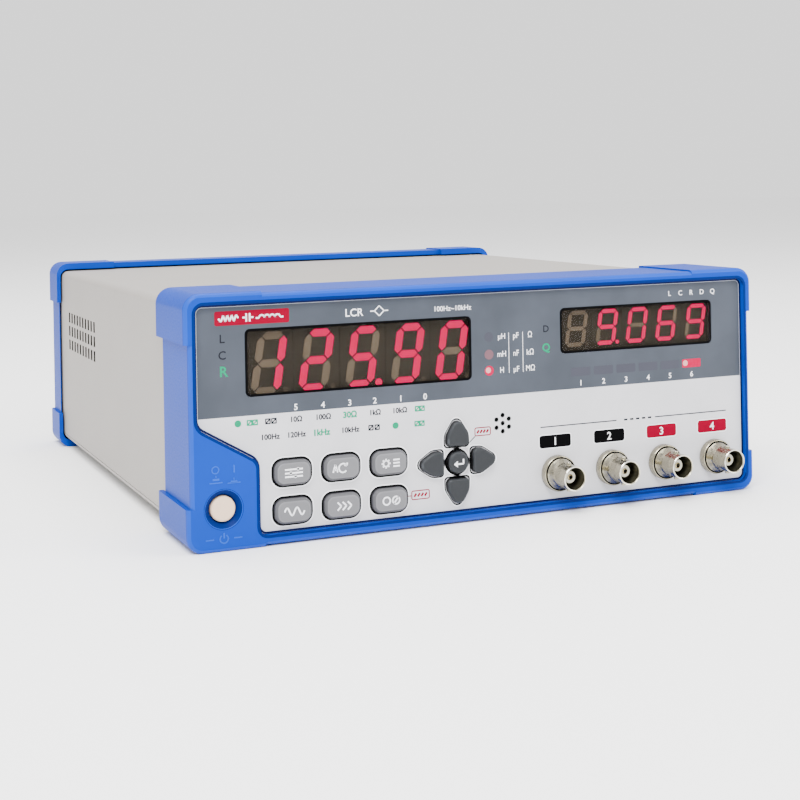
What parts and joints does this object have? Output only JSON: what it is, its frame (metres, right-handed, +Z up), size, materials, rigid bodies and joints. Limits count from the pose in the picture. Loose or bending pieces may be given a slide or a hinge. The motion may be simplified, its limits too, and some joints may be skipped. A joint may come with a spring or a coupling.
{
  "type": "lcr meter",
  "caption": "Bench component meter: sheet steel case between blue corner-padded bezels, with a keypad, numeric displays and coaxial test terminals.",
  "frame": {"origin": "middle of the object's box, on the plane that its corner pads stand on", "axes": "+X to the right seen from the front, +Y from front to back, +Z up"},
  "size_m": [0.2416, 0.277, 0.092],
  "materials": {
    "bezel_blue": "satin moulded blue",
    "case_paint": "warm light grey powder coat",
    "plate_aluminium": "plain",
    "panel_print": "printed polyester film, dark grey above light grey",
    "window_filter": "smoked filter",
    "digit_housing": "dark face",
    "display_red": "lit segments",
    "display_green": "lit lamps",
    "key_grey": "satin",
    "key_dark": "satin",
    "cap_ivory": "smooth",
    "nickel": "nickel plated",
    "gold": "plated",
    "ptfe": "waxy white",
    "board_green": "solder mask",
    "black_moulding": "moulded",
    "screw_steel": "zinc plated",
    "core_steel": "varnished laminations",
    "winding_tape": "polyester tape",
    "capacitor_sleeve": "printed sleeve",
    "cable_grey": "pvc",
    "fuse_glass": "glass tube with metal caps",
    "rear_paint": "powder coat"
  },
  "bodies": {
    "instrument": {"front_bezel": "bezel_blue", "rear_bezel": "bezel_blue", "top_cover": "case_paint", "bottom_tray": "case_paint", "front_plate": "plate_aluminium", "panel_overlay": "panel_print", "main_window": "window_filter", "aux_window": "window_filter", "main_digits": "digit_housing", "aux_digits": "digit_housing", "main_segments": "display_red", "aux_segments": "display_red", "bin_leds": "display_red", "status_leds": "display_green", "bnc_shells": "nickel", "bnc_nuts": "nickel", "serial_connector": "nickel", "handler_connector": "nickel", "inlet_pins": "nickel", "bnc_contacts": "gold", "ground_stud": "gold", "board_standoffs": "gold", "bnc_insulators": "ptfe", "relays": "ptfe", "display_board": "board_green", "main_board": "board_green", "tact_switches": "black_moulding", "buzzer": "black_moulding", "power_switch": "black_moulding", "inlet_body": "black_moulding", "chips": "black_moulding", "regulators": "black_moulding", "board_screws": "screw_steel", "cover_screws": "screw_steel", "rear_screws": "screw_steel", "panel_standoffs": "screw_steel", "heatsink": "screw_steel", "front_end_shield": "screw_steel", "transformer_core": "core_steel", "transformer_winding": "winding_tape", "capacitors": "capacitor_sleeve", "ribbon_cable": "cable_grey", "coax_leads": "cable_grey", "mains_leads": "cable_grey", "rear_panel": "rear_paint"},
    "key_1_body": {"key_1": "key_grey"},
    "key_2_body": {"key_2": "key_grey"},
    "key_3_body": {"key_3": "key_grey"},
    "key_4_body": {"key_4": "key_grey"},
    "key_5_body": {"key_5": "key_grey"},
    "key_6_body": {"key_6": "key_grey"},
    "key_up_body": {"key_up": "key_dark"},
    "key_down_body": {"key_down": "key_dark"},
    "key_left_body": {"key_left": "key_dark"},
    "key_right_body": {"key_right": "key_dark"},
    "key_enter_body": {"key_enter": "key_dark"},
    "power_button_body": {"power_button": "cap_ivory"},
    "ground_nut_body": {"ground_nut": "gold"},
    "fuse_drawer_body": {"fuse_drawer": "black_moulding", "fuse": "fuse_glass"}
  },
  "joints": [
    {"name": "key_1_press", "type": "slide", "parent": "instrument", "child": "key_1_body", "axis": [0, 1, 0], "range_m": [0, 0.0005], "stiffness_N_per_m": 400, "springref_m": -0.0005},
    {"name": "key_2_press", "type": "slide", "parent": "instrument", "child": "key_2_body", "axis": [0, 1, 0], "range_m": [0, 0.0005], "stiffness_N_per_m": 400, "springref_m": -0.0005},
    {"name": "key_3_press", "type": "slide", "parent": "instrument", "child": "key_3_body", "axis": [0, 1, 0], "range_m": [0, 0.0005], "stiffness_N_per_m": 400, "springref_m": -0.0005},
    {"name": "key_4_press", "type": "slide", "parent": "instrument", "child": "key_4_body", "axis": [0, 1, 0], "range_m": [0, 0.0005], "stiffness_N_per_m": 400, "springref_m": -0.0005},
    {"name": "key_5_press", "type": "slide", "parent": "instrument", "child": "key_5_body", "axis": [0, 1, 0], "range_m": [0, 0.0005], "stiffness_N_per_m": 400, "springref_m": -0.0005},
    {"name": "key_6_press", "type": "slide", "parent": "instrument", "child": "key_6_body", "axis": [0, 1, 0], "range_m": [0, 0.0005], "stiffness_N_per_m": 400, "springref_m": -0.0005},
    {"name": "key_up_press", "type": "slide", "parent": "instrument", "child": "key_up_body", "axis": [0, 1, 0], "range_m": [0, 0.0005], "stiffness_N_per_m": 400, "springref_m": -0.0005},
    {"name": "key_down_press", "type": "slide", "parent": "instrument", "child": "key_down_body", "axis": [0, 1, 0], "range_m": [0, 0.0005], "stiffness_N_per_m": 400, "springref_m": -0.0005},
    {"name": "key_left_press", "type": "slide", "parent": "instrument", "child": "key_left_body", "axis": [0, 1, 0], "range_m": [0, 0.0005], "stiffness_N_per_m": 400, "springref_m": -0.0005},
    {"name": "key_right_press", "type": "slide", "parent": "instrument", "child": "key_right_body", "axis": [0, 1, 0], "range_m": [0, 0.0005], "stiffness_N_per_m": 400, "springref_m": -0.0005},
    {"name": "key_enter_press", "type": "slide", "parent": "instrument", "child": "key_enter_body", "axis": [0, 1, 0], "range_m": [0, 0.0005], "stiffness_N_per_m": 400, "springref_m": -0.0005},
    {"name": "power_latch", "type": "slide", "parent": "instrument", "child": "power_button_body", "axis": [0, 1, 0], "range_m": [-0.003, 0.0008]},
    {"name": "fuse_drawer_slide", "type": "slide", "parent": "instrument", "child": "fuse_drawer_body", "axis": [0, 1, 0], "range_m": [0, 0.018]},
    {"name": "ground_nut_turn", "type": "hinge", "parent": "instrument", "child": "ground_nut_body", "pos_m": [-0.034, 0.13195, 0.022], "axis": [0, 1, 0], "range_deg": [0, 540]}
  ]
}
